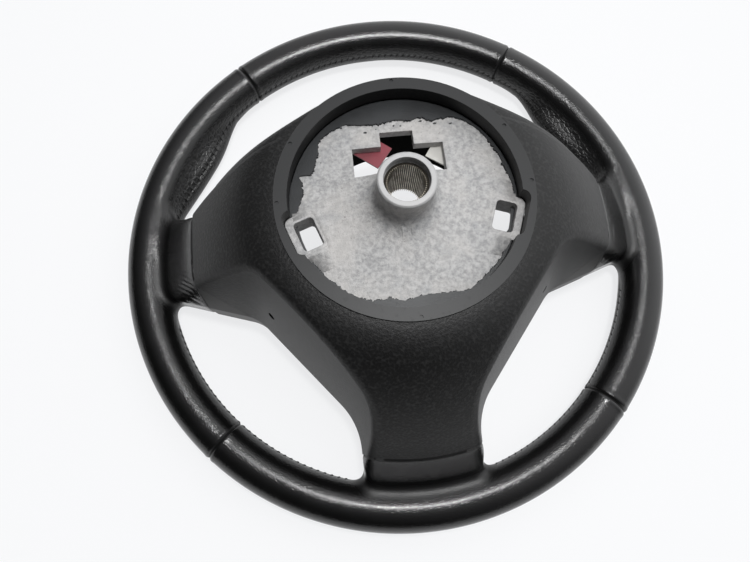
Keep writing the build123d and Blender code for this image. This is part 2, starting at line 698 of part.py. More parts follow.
# Screws from the front through the bars into the posts of the cover
with BuildPart() as cover_screws:
    with BuildSketch(Plane.XY.offset(PAD_BOTTOM_Z)):
        with Locations(*SCREW_POINTS):
            Circle(SCREW_RADIUS)
    extrude(amount=PAD_TOP_Z - PAD_BOTTOM_Z + SCREW_GRIP)
    with BuildSketch(Plane.XY.offset(PAD_BOTTOM_Z)):
        with Locations(*SCREW_POINTS):
            Circle(SCREW_HEAD_RADIUS)
    extrude(amount=-SCREW_HEAD_HEIGHT)
    with BuildSketch(Plane.XY.offset(PAD_BOTTOM_Z - SCREW_HEAD_HEIGHT)):
        with Locations(*SCREW_POINTS):
            RegularPolygon(SCREW_SOCKET_WIDTH / 2, 6, major_radius=False)
    extrude(amount=SCREW_SOCKET_DEPTH, mode=Mode.SUBTRACT)
finish(cover_screws, "cover_screws")

# Wire springs, hooked into the bars from the front
for name, (side_end, bottom_end) in zip(("airbag_spring_right", "airbag_spring_left"), SPRING_ENDS):
    with BuildPart() as spring:
        with BuildLine():
            Polyline(
                (*side_end, SPRING_TOP_Z), (*side_end, SPRING_LOW_Z), (*bottom_end, SPRING_LOW_Z),
                (*bottom_end, SPRING_TOP_Z),
            )
        with BuildSketch(Plane((*side_end, SPRING_TOP_Z), z_dir=(0, 0, -1))):
            Circle(SPRING_WIRE_RADIUS)
        sweep(transition=Transition.RIGHT)
    finish(spring, name)

# Plain tags stuck under the plate, each with a corner in the top window
for name, corner, angle, size in (
    ("red_tag", RED_TAG_CORNER, RED_TAG_ANGLE, RED_TAG_SIZE),
    ("pale_tag", PALE_TAG_CORNER, PALE_TAG_ANGLE, PALE_TAG_SIZE),
):
    with BuildPart() as tag:
        with BuildSketch(Plane.XY.offset(PLATE_BOTTOM_Z)):
            with Locations(Location((*corner, 0), angle)):
                Rectangle(*size, align=(Align.MIN, Align.MIN))
        extrude(amount=-TAG_THICKNESS)
    finish(tag, name)
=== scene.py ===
"""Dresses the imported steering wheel: sewn leather rim, moulded cover, cast hub plate, studio and camera."""
from math import cos, pi, radians, sin, tan

import bpy
import numpy as np
from mathutils import Matrix


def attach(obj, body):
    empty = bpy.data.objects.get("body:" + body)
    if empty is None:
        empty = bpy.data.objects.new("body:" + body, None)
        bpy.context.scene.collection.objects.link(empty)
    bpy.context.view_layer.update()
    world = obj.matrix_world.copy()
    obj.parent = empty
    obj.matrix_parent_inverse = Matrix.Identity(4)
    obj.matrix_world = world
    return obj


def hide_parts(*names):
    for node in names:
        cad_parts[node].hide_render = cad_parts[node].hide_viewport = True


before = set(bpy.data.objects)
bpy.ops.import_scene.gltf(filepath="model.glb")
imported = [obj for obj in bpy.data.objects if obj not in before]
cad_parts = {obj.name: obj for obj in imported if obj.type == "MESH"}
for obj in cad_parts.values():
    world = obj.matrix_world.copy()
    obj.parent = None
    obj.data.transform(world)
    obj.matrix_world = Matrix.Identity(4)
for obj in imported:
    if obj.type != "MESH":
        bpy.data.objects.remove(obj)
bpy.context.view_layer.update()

MM = 0.001
SIDES = {1: "right", -1: "left"}

# Sizes of the wheel in mm. Angles of the rim count in degrees from twelve o'clock, clockwise.
RIM_RADIUS = 171.0
RIM_Z = 14.0
GRIP_RADIUS = 14.0
LEATHER_THICKNESS = 1.2
UPPER_SEAM_ANGLE = 34.85
LOWER_SEAM_ANGLE = 134.07
DEGREES_PER_MM = 1.0 / RIM_RADIUS / radians(1.0)

# Thumb rests: place and size, the right one's extra, their reach in degrees before and after the middle,
# the radii of the arcs along which they thin out, and the radius at which they stop thinning
THUMB_ANGLE = 59.0
THUMB_CENTRE = 155.0
THUMB_Z = 7.8
THUMB_RADIUS = 7.8
RIGHT_THUMB_EXTRA = 0.9
THUMB_SPAN = (-20.0, 26.0)
THUMB_ARCS = (130.0, 830.0)
THUMB_LEAST_RADIUS = 1.0

# Back of the spokes: radius, height and fall in degrees
DOME = (
    (66.0, 103.4, 2.0), (100.0, 88.8, 40.0), (130.0, 58.0, 50.5), (150.0, 32.5, 46.0), (168.0, 18.5, 30.0),
    (190.0, 5.8, 30.0),
)
SPOKE_FRONT_Z = 9.0
SPOKE_REACH = 166.0
# Edges of a side spoke in plan: direction of the normal in degrees from +X, and distance from the axis
UPPER_EDGE = (69.0, 64.6)
SIDE_EDGE = (-71.6, 73.2)
BOTTOM_HALF_WIDTH = 37.0
# Height above which the spokes' walls lean in, and how far they lean per mm
SKIRT_Z = 28.0
WALL_RUN = tan(radians(14.0))
# Radius beyond which a side spoke's upper edge widens towards the rim, and how far it widens per mm
FLARE_START = 130.0
FLARE_RUN = 0.8

# Ends of the cover: half width at the side spokes, radius at the bottom spoke, gap to the leather, how far
# the side's end stays inside the bottom's, its reach in degrees, and the turn from one to the other
COVER_HALF_WIDTH = 127.0
COVER_END_RADIUS = 140.0
COVER_GAP = 0.4
COVER_SIDE_LIMIT = 1.0
COVER_SIDE_SPAN = 60.0
COVER_TURN = (125.0, 20.0)
COLLAR_RADIUS = 70.7
COLLAR_WALL = 3.0

# Blends of the leather over the foam: thumb rest, upper and lower corner of a spoke, back of a spoke
THUMB_BLEND = 7.0
UPPER_BLEND = 4.0
LOWER_BLEND = 10.0
BACK_BLEND = 5.5
SADDLE_BLEND = 9.0
SPOKE_EDGE_BLEND = 8.0
# Start and length of the change to the lower corner, to the back and to the saddle above the side spokes
LOWER_TURN = (10.0, 20.0)
BACK_TURN = (16.0, 8.0)
SADDLE_TURN = (2.0, 18.0)

# Sewing: cross seams, tuck at the cover, and the laced seam with its puckers
SEAM_HOLD = 0.03
SEAM_DEPTH = 0.85
SEAM_WIDTH = 0.85
SEAM_SWELL = 0.22
SEAM_SWELL_PLACE = 2.3
SEAM_SWELL_WIDTH = 1.1
TUCK_DEPTH = 0.7
TUCK_WIDTH = 1.1
LACE_PITCH = 4.6
LACE_STEP = LACE_PITCH / (RIM_RADIUS - GRIP_RADIUS) / radians(1.0)
LACE_TURN = (5.0, 4.0)
LACE_GROOVE = 0.55
LACE_GROOVE_WIDTH = 0.9
PUCKER = 0.2
PUCKER_WIDTH = 2.6
# Places where the leather is gathered beside the spokes: x, y, z, spread, height, pitch, slant of the folds
GATHERS = (
    (-136.0, 22.0, 42.0, 5.0, 0.55, 2.4, 0.9), (-137.0, -24.0, 44.0, 8.0, 0.75, 2.3, 0.7),
    (-139.0, -34.0, 34.0, 7.0, 0.7, 2.5, 0.6), (136.0, 20.0, 42.0, 5.0, 0.5, 2.4, -0.9),
    (137.0, -15.0, 46.0, 5.0, 0.8, 5.0, -2.5), (143.0, -32.0, 36.0, 6.5, 0.7, 2.3, -0.6),
)

# Lattice on which the leather is found: coarse step, fine step and reach of the fine steps, in mm
ALONG_STEPS = (1.05, 0.22, 4.0)
HEIGHT_STEPS = (1.3, 0.75, 5.0)
HEIGHT_RANGE = (-1.6, 64.0)
DEPTH_STEPS = 44
LATTICE_RADIUS = RIM_RADIUS + GRIP_RADIUS + 1.6
# Settling of its points on the leather: rounds, longest move and least squared slope
SETTLE_ROUNDS = 5
SETTLE_MOVE = 1.5
SETTLE_SLOPE = 0.05
SLOPE_STEP = 0.02
# Height and width of the place at which a spoke is told from open space
PROBE_Z = 20.0
PROBE_WIDTH = 6.0

# Leather's masks: coarse folds inside the rim, whose lighter tone is a painted sheen, and painted shade in
# the creases at seams, cover and valleys beside the rim
COARSE_RADIUS = 162.0
COARSE_FADE = 4.0
COARSE_BELOW = 0.3
COARSE_RISE = (-5.0, 40.0)
SEAM_SHADE_WIDTH = 0.9
COVER_SHADE_WIDTH = 1.2
VALLEY_SHADE = 0.8
VALLEY_WIDTH = 1.2
VALLEY_RISE = (-4.0, 14.0)

# Foam under the leather: where it starts outside the cover's end, its clearance, rounds and least slope
FOAM_START = 8.0
FOAM_CLEARANCE = 0.4
FOAM_ROUNDS = 6
FOAM_SLOPE = 0.2

# Thread of the laced seam, its rounded ends as shares of its radius, and the half stitch: share of the
# pitch, height, lift of the middle and dip of the ends
THREAD_RADIUS = 0.32
THREAD_SIDES = 8
THREAD_POINTS = 7
THREAD_END_LENGTH = 0.6
THREAD_END_WIDTH = 0.55
STITCH_SHARE = 0.22
STITCH_HEIGHT = 2.1
STITCH_LIFT = 0.08
STITCH_DIP = 0.5
# Search for the rim's inner side: start inside the rim's middle, least open space, and halvings
LACE_DEPTH = 4.0
LACE_SPACE = 2.0
LACE_HALVINGS = 30

# Hub plate, and the fillet from it to the boss as radius and height over the plate
PLATE_RADIUS = 62.5
PLATE_FALL = 4.1
PLATE_TOP_Z = 97.3
BOSS_FILLET = (
    (15.5, 11.2), (15.8, 8.7), (16.5, 6.4), (17.7, 4.2), (19.8, 2.3), (22.6, 1.1), (26.0, 0.42), (29.0, 0.14),
    (32.0, 0.02), (35.0, -0.1), (36.0, -0.3),
)
BOSS_WALL = 15.6
BOSS_LEAST_REACH = 15.72
BOSS_SINK = 0.5
BOSS_STEPS = 120
# Edge of the upper window towards the boss, and the least sine of an angle that meets it
WINDOW_LOW = 15.15
WINDOW_SINE = 0.1

# Side windows' frames: middle and half width in degrees where the skin is not torn, then place and size
EAR_ANGLE = -16.0
EAR_SPAN = 12.5
EAR_PLACE = (54.0, -15.5)
EAR_HALF = (9.8, 12.8)
EAR_CORNER = 4.2
EAR_TILT = 20.0
EAR_TOP_Z = 94.62
EAR_LIFT = 0.015
EAR_INSET = 0.3
EAR_EDGE = 0.2
EAR_STEPS = 9
EAR_CORNERS = ((1, 1, 0), (-1, 1, 90), (-1, -1, 180), (1, -1, 270))
# Step round a frame: distance out, share of the height over the plate, and how far it sinks
EAR_SECTION = (
    (-2.6, 1.0, 0.3), (-2.2, 1.0, -0.05), (0.4, 0.97, 0.0), (3.4, 0.7, 0.0), (7.0, 0.24, 0.0),
    (10.5, 0.03, 0.0), (14.0, 0.0, 0.5),
)

# Upper edge of the cover from the collar outwards, for the right side, and the section of its web
SHOULDER = (
    (33.0, 62.4), (36.5, 61.6), (40.5, 60.3), (45.0, 58.3), (53.0, 54.0), (61.7, 49.6), (71.0, 45.2),
    (80.0, 41.1), (90.0, 36.5), (100.0, 31.7), (108.0, 27.4),
)
SHOULDER_SECTION = (
    (-15.0, -0.6), (-9.0, -0.12), (-4.0, -0.15), (-1.6, -0.7), (-0.4, -1.8), (0.0, -3.4), (-0.6, -12.0),
    (-5.5, -34.0), (-15.0, -34.0),
)
SHOULDER_STEPS = 60

# Lips of the hub: first and last angle in degrees, and the section as radius and height
SKIN_LIP = (0.0, 360.0, ((60.5, 88.2), (68.0, 88.2), (68.0, 89.2), (60.5, 89.2)))
POCKET_LIP = (48.0, 132.0, ((64.5, 23.0), (67.0, 23.0), (67.5, 84.0), (65.0, 84.0)))
LIP_STEP = 2.0

# Skin on the hub plate: angle in degrees from +X and width that is left there
SKIN_RADIUS = 63.1
SKIN_THICKNESS = 1.0
SKIN_EDGE = (
    (-145, 1.2), (-129, 0.9), (-116, 1.9), (-111, 2.4), (-104, 5.8), (-94, 5.2), (-90, 7.2), (-82, 7.4),
    (-72, 5.0), (-63, 1.3), (-45, 0.9), (-30, 0.8), (2, 0.8), (13, 2.2), (24, 1.6), (38, 0.8), (49, 1.6),
    (55, 3.2), (61, 6.8), (66, 11.4), (73, 10.2), (79, 13.8), (90, 13.6), (101, 14.4), (113, 11.0),
    (120, 6.0), (129, 3.4), (138, 3.0), (143, 6.4), (152, 9.0), (159, 8.8), (161, 2.8), (169, 6.2),
    (175, 6.0), (182, 3.6), (190, 0.8),
)
# Its tear: step in degrees, the jags as stride in steps and size, and the section's heights as shares
# of the thickness
TEAR_SEED = 7
TEAR_STEP = 0.3
TEAR_JAGS = ((13, 0.9), (5, 0.9), (2, 0.6), (1, 0.3))
TEAR_JAG_RANGE = (-0.6, 1.0)
TEAR_LEAST_JAG = 0.05
TEAR_OVERLAP = 0.9
TEAR_OUTER_GAP = 0.05
TEAR_LIP = 0.45
TEAR_LIP_GAP = 0.02
TEAR_HEIGHTS = (-0.3, -0.3, 0.45, 1.0, 1.03)
# Its flakes left on the metal
FLAKE_ANGLES = (54.0, 63.0, 72.5, 86.0, 91.0, 104.0, 112.0, 123.0, 149.0)
FLAKE_DISTANCE = (1.0, 5.5)
FLAKE_SIZE = (0.15, 0.8)
FLAKE_CORNER = (0.5, 1.3)
FLAKE_LENGTH = 1.6
FLAKE_LEVELS = (-0.1, 0.25)
FLAKE_CORNERS = 6

# Zones of the finishes in mm, where each begins and where it is complete
COLLAR_RING = (COLLAR_RADIUS - 0.2, COLLAR_RADIUS + 0.2)
COLLAR_RING_Z = (95.0, 103.0)
# Painted shade on the collar's inner wall: its radius, then the height below which it lies
COLLAR_WELL_SHADE = (63.4, 63.9)
COLLAR_WELL_SHADE_Z = (103.6, 104.2)
BOSS_END = (16.2, 16.8)
BOSS_END_Z = (117.0, 118.2)
# Radius beyond which the roots of the teeth get painted shade
TOOTH_ROOT_SHADE = (10.2, 10.8)
# Heights over which the skin's painted shade at the front fades out
SKIN_BACK_Z = (40.0, 60.0)
# Pace of the leather's folds along the rim as a share of their pace across it, which makes them long
FOLD_STRETCH = 0.55

# Camera of the photo: axes to the right, up and back, place in metres, and focal length in pixels
CAMERA_AXES = (
    (0.9946308, -0.1026987, 0.0127475),
    (0.0958616, 0.9607341, 0.2603855),
    (-0.0389882, -0.2577655, 0.9654206),
)
CAMERA_PLACE = (-0.031597, -0.116190, 0.360459)
CAMERA_FOCAL = 520.0
CAMERA_SENSOR = 36.0
CAMERA_CLIP = 0.01
PICTURE_WIDTH = 750.0
# Lamp above the wheel, looking straight down
LAMP_AXES = ((1.0, 0.0, 0.0), (0.0, 1.0, 0.0), (0.0, 0.0, 1.0))
LAMP_PLACE = (0.08, 0.08, 1.1)
LAMP_SIZE = 0.18
LAMP_POWER = 6.5
# The side of the room that is bright, and its light from the dark side to the bright one
BRIGHT_SIDE = (0.7, 0.55, 0.455)
SKY = ((0.35, (0.03, 0.03, 0.03)), (0.64, (0.3, 0.3, 0.31)), (0.95, (1.5, 1.51, 1.53)))
FLOOR_HALF = 3.0
FLOOR_GLOW = (0.965, 0.972, 0.985, 1)
FLOOR_GLOW_SHARE = 0.8


# Shapes

def rim_points(angle, radius, height):
    """Points at rim angles in degrees, radii and heights."""
    turn = np.radians(angle)
    return np.stack(np.broadcast_arrays(radius * np.sin(turn), radius * np.cos(turn), height), axis=-1)


def ramp(value, start, length):
    """0 up to a start, then rising to 1 over a length."""
    return np.clip((value - start) / length, 0.0, 1.0)


def hump(distance, width):
    """1 in the middle, falling to nothing beyond a width."""
    return np.exp(-((distance / width) ** 2))


def soft_min(a, b, blend):
    """Union of two fields with a rounded inner corner."""
    share = np.clip(1.0 - np.abs(a - b) / blend, 0.0, 1.0)
    return np.minimum(a, b) - share * share * blend / 4.0


def soft_max(a, b, blend):
    """Overlap of two fields with a rounded outer edge."""
    return -soft_min(-a, -b, blend)


def dome_height(radius):
    """Height and fall of the back of the spokes at a radius."""
    knots, heights, angles = np.array(DOME).T
    falls = -np.tan(np.radians(angles))
    span = np.clip(np.searchsorted(knots, radius) - 1, 0, len(knots) - 2)
    length = knots[span + 1] - knots[span]
    t = np.clip((radius - knots[span]) / length, 0.0, 1.0)
    height = (
        heights[span] * (2 * t**3 - 3 * t**2 + 1)
        + falls[span] * length * (t**3 - 2 * t**2 + t)
        + heights[span + 1] * (3 * t**2 - 2 * t**3)
        + falls[span + 1] * length * (t**3 - t**2)
    )
    return height, falls[span] * (1 - t) + falls[span + 1] * t


def grip_distance(radius, z, from_thumb, extra):
    """Distance in the rim's section to the round grip and the thumb rest that swells from it."""
    bend = np.radians(np.clip(from_thumb, *THUMB_SPAN))
    travel = THUMB_CENTRE * np.tan(bend)
    thin = THUMB_RADIUS + extra - travel**2 / (2 * np.where(travel < 0, *THUMB_ARCS))
    middle = np.minimum(THUMB_CENTRE / np.cos(bend), RIM_RADIUS)
    thumb = np.hypot(radius - middle, z - THUMB_Z - extra) - np.maximum(thin, THUMB_LEAST_RADIUS)
    grip = soft_min(np.hypot(radius - RIM_RADIUS, z - RIM_Z) - GRIP_RADIUS, thumb, THUMB_BLEND)
    return np.maximum(grip, -z)


def leather_parts(point):
    """Distances, about, to the rim with its thumb rests and to the spokes, and the blend between them."""
    x = np.abs(point[..., 0])
    y = point[..., 1]
    z = point[..., 2]
    radius = np.hypot(x, y)
    extra = np.where(point[..., 0] > 0, RIGHT_THUMB_EXTRA, 0.0)
    grip = grip_distance(radius, z, np.degrees(np.arctan2(x, y)) - THUMB_ANGLE, extra)
    height, fall = dome_height(radius)
    back = (z - height) / np.sqrt(1.0 + fall * fall)
    front = SPOKE_FRONT_Z - z
    drawn_in = np.maximum(z - SKIRT_Z, 0.0) * WALL_RUN
    flare = np.maximum(radius - FLARE_START, 0.0) * FLARE_RUN
    side = back
    for (normal, distance), shift in ((UPPER_EDGE, -flare), (SIDE_EDGE, drawn_in)):
        edge = x * cos(radians(normal)) + y * sin(radians(normal)) - distance + shift
        side = soft_max(side, edge, SPOKE_EDGE_BLEND)
    bottom = soft_max(back, x - BOTTOM_HALF_WIDTH + drawn_in, SPOKE_EDGE_BLEND)
    bottom = np.maximum(bottom, y)
    spoke = soft_max(np.minimum(side, bottom), front, SPOKE_EDGE_BLEND / 2)
    spoke = soft_max(spoke, radius - SPOKE_REACH, SPOKE_EDGE_BLEND)
    corner = UPPER_BLEND + (LOWER_BLEND - UPPER_BLEND) * ramp(-y, *LOWER_TURN)
    back_blend = BACK_BLEND + (SADDLE_BLEND - BACK_BLEND) * ramp(y, *SADDLE_TURN)
    return grip, spoke, corner + (back_blend - corner) * ramp(z, *BACK_TURN)


def leather_field(point):
    """Signed distance, about, to the outside of the leather."""
    return soft_min(*leather_parts(point))


def slope_of(point):
    """Gradient of the leather field by small steps."""
    parts = []
    for axis in range(3):
        shift = np.zeros(3)
        shift[axis] = SLOPE_STEP
        parts.append((leather_field(point + shift) - leather_field(point - shift)) / (2 * SLOPE_STEP))
    return np.stack(parts, axis=-1)


def inner_start(angle):
    """Radius at which the leather begins at a rim angle: the cover's end, or open space inside the rim."""
    turn = np.abs(((angle + 180.0) % 360.0) - 180.0)
    from_side = np.radians(np.clip(np.abs(turn - 90.0), 0.0, COVER_SIDE_SPAN))
    side = np.minimum((COVER_HALF_WIDTH + COVER_GAP) / np.cos(from_side), COVER_END_RADIUS - COVER_SIDE_LIMIT)
    share = ramp(turn, *COVER_TURN)
    share = share * share * (3 - 2 * share)
    return side * (1 - share) + (COVER_END_RADIUS + COVER_GAP) * share


def surface_net(field):
    """Vertices in lattice steps and quads of the zero surface of a field sampled on a lattice."""
    cells = tuple(n - 1 for n in field.shape)
    total = np.zeros(cells + (3,))
    count = np.zeros(cells)
    quads = []
    inside = field < 0
    for axis in range(3):
        others = [other for other in range(3) if other != axis]
        low = np.moveaxis(field, axis, 0)[:-1]
        high = np.moveaxis(field, axis, 0)[1:]
        crossed = (low < 0) != (high < 0)
        share = np.where(crossed, low / np.where(crossed, low - high, 1.0), 0.0)
        view_total = np.moveaxis(total, axis, 0)
        view_count = np.moveaxis(count, axis, 0)
        rows, columns = view_count.shape[1:]
        for a in (0, 1):
            for b in (0, 1):
                part = crossed[:, a:a + rows, b:b + columns]
                view_total[..., axis] += share[:, a:a + rows, b:b + columns]
                view_total[..., others[0]] += a * part
                view_total[..., others[1]] += b * part
                view_count += part
    used = count > 0
    index = np.full(cells, -1)
    index[used] = np.arange(int(used.sum()))
    places = np.argwhere(used) + total[used] / count[used][:, None]
    for axis in range(3):
        turned = np.moveaxis(index, axis, 0)
        state = np.moveaxis(inside, axis, 0)
        crossed = state[:-1, 1:-1, 1:-1] != state[1:, 1:-1, 1:-1]
        entering = state[1:, 1:-1, 1:-1] & crossed
        corners = np.stack(
            (turned[:, :-1, :-1], turned[:, 1:, :-1], turned[:, 1:, 1:], turned[:, :-1, 1:]), axis=-1
        )
        flip = entering[crossed] == (axis != 1)
        found = corners[crossed]
        found[flip] = found[flip][:, ::-1]
        quads.append(found)
    return places, np.concatenate(quads)


def graded(start, end, steps, fine_places):
    """Lattice positions from start to end, in fine steps near given places and in coarse steps elsewhere."""
    coarse, fine, reach = steps
    places = [start]
    while places[-1] < end:
        nearest = min(abs(places[-1] - fine_place) for fine_place in fine_places)
        share = min(nearest / reach, 1.0)
        places.append(places[-1] + fine + (coarse - fine) * share)
    places = np.array(places)
    return start + (places - start) * (end - start) / (places[-1] - start)


def place_piece(name, mesh, finish):
    """Piece from a mesh in metres, riding on the wheel."""
    mesh.materials.clear()
    mesh.materials.append(finish)
    piece = bpy.data.objects.new(name, mesh)
    bpy.context.scene.collection.objects.link(piece)
    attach(piece, "root")
    return piece


def make_piece(name, points, faces, finish, smooth=True):
    """Piece from points in mm and faces, which are all turned outwards."""
    points = np.asarray(points)
    triangles = np.array([(face[0], a, b) for face in faces for a, b in zip(face[1:-1], face[2:])])
    volume = np.sum(points[triangles[:, 0]] * np.cross(points[triangles[:, 1]], points[triangles[:, 2]]))
    turned = 1 if volume > 0 else -1
    mesh = bpy.data.meshes.new(name)
    mesh.from_pydata((points * MM).tolist(), [], [tuple(face)[::turned] for face in faces])
    mesh.validate()
    mesh.polygons.foreach_set("use_smooth", [smooth] * len(mesh.polygons))
    return place_piece(name, mesh, finish)


def strip_faces(rings, size, first=0, loop=False):
    """Quads between closed rings of points. A row of rings that does not loop gets a face at each end."""
    faces = []
    for ring in range(rings if loop else rings - 1):
        onward = ((ring + 1) % rings - ring) * size
        for side in range(size):
            a = first + ring * size + side
            b = first + ring * size + (side + 1) % size
            faces.append((a, b, b + onward, a + onward))
    if not loop:
        last = first + (rings - 1) * size
        faces.append(tuple(first + side for side in reversed(range(size))))
        faces.append(tuple(last + side for side in range(size)))
    return faces


def write_mask(piece, name, values):
    """Store a value per vertex for the material to read."""
    mask = piece.data.attributes.new(name, "FLOAT", "POINT")
    mask.data.foreach_set("value", np.asarray(values, dtype=np.float32))


def settle(points, fixed):
    """Move points onto the leather surface without leaving the planes whose normals are fixed."""
    for _ in range(SETTLE_ROUNDS):
        value = leather_field(points)
        slope = slope_of(points)
        for normal, rows in fixed:
            along = np.sum(slope * normal, axis=1, keepdims=True)
            slope = np.where(rows[:, None], slope - along * normal, slope)
        size = np.maximum(np.sum(slope * slope, axis=1), SETTLE_SLOPE)
        points = points - np.clip(value / size, -SETTLE_MOVE, SETTLE_MOVE)[:, None] * slope
    return points


def sewing(points, angle, from_seam, from_cover, open_share):
    """Height over the plain leather: cross seams, tuck at the cover, laced seam and gathers."""
    height = -SEAM_DEPTH * hump(np.maximum(from_seam, 0.0), SEAM_WIDTH)
    height += SEAM_SWELL * hump(from_seam - SEAM_SWELL_PLACE, SEAM_SWELL_WIDTH)
    height -= TUCK_DEPTH * hump(np.maximum(from_cover, 0.0), TUCK_WIDTH)
    inner = ramp(RIM_RADIUS - np.hypot(points[:, 0], points[:, 1]), *LACE_TURN) * open_share
    from_lace = points[:, 2] - RIM_Z
    height -= LACE_GROOVE * hump(from_lace, LACE_GROOVE_WIDTH) * inner
    wave = np.cos(2 * pi * angle / LACE_STEP)
    height -= PUCKER * inner * (0.5 + 0.5 * wave) * hump(from_lace, PUCKER_WIDTH)
    for x, y, z, spread, fold, pitch, slant in GATHERS:
        apart = points - (x, y, z)
        near = np.exp(-np.sum(apart * apart, axis=1) / spread**2)
        lines = (apart[:, 1] + slant * apart[:, 0]) / np.hypot(1.0, slant)
        height += fold * near * (np.abs(np.sin(pi * lines / pitch)) - 1.0)
    return height


def panel_net(start, end):
    """Points on the plain outside of the leather between two rim angles, and the quads that join them."""
    angles = graded(start, end, [step * DEGREES_PER_MM for step in ALONG_STEPS], (start, end))
    depths = np.linspace(0.0, 1.0, DEPTH_STEPS)
    heights = graded(*HEIGHT_RANGE, HEIGHT_STEPS, (RIM_Z,))
    begin = inner_start(angles)[:, None, None]
    radius = begin + (LATTICE_RADIUS - begin) * depths[:, None]
    places, quads = surface_net(leather_field(rim_points(angles[:, None, None], radius, heights)))
    at_start = places[:, 0] < 1.0
    at_end = places[:, 0] > len(angles) - 2.0
    at_cover = places[:, 1] < 1.0
    angle = np.interp(places[:, 0], np.arange(len(angles)), angles)
    angle = np.where(at_start, start, np.where(at_end, end, angle))
    depth = np.interp(places[:, 1], np.arange(len(depths)), depths)
    depth = np.where(at_cover, 0.0, depth)
    height = np.interp(places[:, 2], np.arange(len(heights)), heights)
    begin = inner_start(angle)
    points = rim_points(angle, begin + (LATTICE_RADIUS - begin) * depth, height)
    across = rim_points(angle + 90.0, 1.0, 0.0)
    outward = rim_points(angle, 1.0, 0.0)
    return settle(points, ((across, at_start | at_end), (outward, at_cover))), quads


def shell_faces(quads, count):
    """Faces of a closed shell: outside, the same quads on the lining, and sides along the open edges."""
    edges = np.concatenate([quads[:, [corner, (corner + 1) % 4]] for corner in range(4)])
    keys = np.sort(edges, axis=1)
    _, first, uses = np.unique(keys, axis=0, return_index=True, return_counts=True)
    a, b = edges[first[uses == 1]].T
    sides = np.stack((b, a, a + count, b + count), axis=1)
    return np.concatenate((quads, quads[:, ::-1] + count, sides))


def leather_panel(name, start, end, nodes, finish):
    """One sewn panel of the leather cover, as a closed shell."""
    start += SEAM_HOLD * DEGREES_PER_MM
    end -= SEAM_HOLD * DEGREES_PER_MM
    points, quads = panel_net(start, end)
    count = len(points)
    slope = slope_of(points)
    normal = slope / np.linalg.norm(slope, axis=1, keepdims=True)
    middle = (start + end) / 2
    angle = np.degrees(np.arctan2(points[:, 0], points[:, 1]))
    angle = middle + (angle - middle + 180.0) % 360.0 - 180.0
    radius = np.hypot(points[:, 0], points[:, 1])
    begin = inner_start(angle)
    from_seam = np.minimum(angle - start, end - angle) / DEGREES_PER_MM
    from_cover = radius - begin
    probe = rim_points(angle, begin, PROBE_Z)
    open_share = ramp(leather_field(probe), -PROBE_WIDTH / 2, PROBE_WIDTH)
    raised = points + normal * sewing(points, angle, from_seam, from_cover, open_share)[:, None]
    lining = points - normal * LEATHER_THICKNESS
    shell = np.concatenate((raised, lining))
    piece = make_piece(name, shell, shell_faces(quads, count), finish)

    # Mask of the coarse folds, which also gives them a lighter tone as a painted sheen
    upper = COARSE_BELOW + (1.0 - COARSE_BELOW) * ramp(points[:, 1], *COARSE_RISE)
    coarse = ramp(COARSE_RADIUS - radius, 0.0, COARSE_FADE) * upper * open_share
    write_mask(piece, "coarse", np.concatenate((coarse, coarse)))
    grip, spoke, blend = leather_parts(points)
    below = 1.0 - ramp(points[:, 1], *VALLEY_RISE)
    valley = below * np.clip(VALLEY_WIDTH - np.abs(grip - spoke) / blend, 0.0, 1.0)
    # Painted shade: a mask that darkens the leather at the seams, at the tuck by the cover and in the valleys
    # beside the rim
    crease = hump(from_seam, SEAM_SHADE_WIDTH) + hump(from_cover, COVER_SHADE_WIDTH) + VALLEY_SHADE * valley
    write_mask(piece, "crease", np.concatenate((np.clip(crease, 0, 1), np.ones(count))))
    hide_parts(*nodes)


def fitted_foam(finish):
    """The foam moulding, drawn in where the leather of the thumb rests lies lower than the solid's."""
    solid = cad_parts["foam_moulding"]
    mesh = solid.data.copy()
    mesh.name = "fitted_foam"
    mesh.transform(solid.matrix_world)
    points = np.empty(len(mesh.vertices) * 3)
    mesh.vertices.foreach_get("co", points)
    points = points.reshape(-1, 3) / MM
    on_rim = np.hypot(points[:, 0], points[:, 1]) > COVER_HALF_WIDTH + FOAM_START
    for _ in range(FOAM_ROUNDS):
        above = leather_field(points) + LEATHER_THICKNESS + FOAM_CLEARANCE
        slope = slope_of(points)
        size = np.maximum(np.sum(slope * slope, axis=1), FOAM_SLOPE)
        move = np.where(on_rim & (above > 0), above / size, 0.0)
        points = points - move[:, None] * slope
    mesh.vertices.foreach_set("co", (points * MM).ravel())
    piece = place_piece("fitted_foam", mesh, finish)
    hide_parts("foam_moulding")


def rim_surface(angle, height):
    """Point on the inner side of the rim at an angle and a height, or None where a spoke is."""
    low = float(inner_start(np.array(angle)))
    high = RIM_RADIUS - LACE_DEPTH
    if leather_field(rim_points(angle, low, height)) < LACE_SPACE:
        return None
    for _ in range(LACE_HALVINGS):
        middle = (low + high) / 2
        if leather_field(rim_points(angle, middle, height)) > 0:
            low = middle
        else:
            high = middle
    return rim_points(angle, high, height)


def thread_tube(path, points, faces):
    """Closed tube with rounded ends along a short path, added to points and faces."""
    path = np.asarray(path)
    ahead = np.gradient(path, axis=0)
    ahead /= np.linalg.norm(ahead, axis=1, keepdims=True)
    first = len(points)
    up = np.cross(ahead[len(path) // 2], path[len(path) // 2] * (1, 1, 0))
    up /= np.linalg.norm(up)
    end = THREAD_RADIUS * THREAD_END_LENGTH
    rings = [(path[0] - ahead[0] * end, ahead[0], THREAD_END_WIDTH)]
    rings += [(spot, way, 1.0) for spot, way in zip(path, ahead)]
    rings += [(path[-1] + ahead[-1] * end, ahead[-1], THREAD_END_WIDTH)]
    for spot, way, share in rings:
        side = np.cross(way, up)
        side /= np.linalg.norm(side)
        over = np.cross(side, way)
        for turn in np.arange(THREAD_SIDES) * 2 * pi / THREAD_SIDES:
            points.append(spot + (side * cos(turn) + over * sin(turn)) * THREAD_RADIUS * share)
    faces.extend(strip_faces(len(rings), THREAD_SIDES, first))


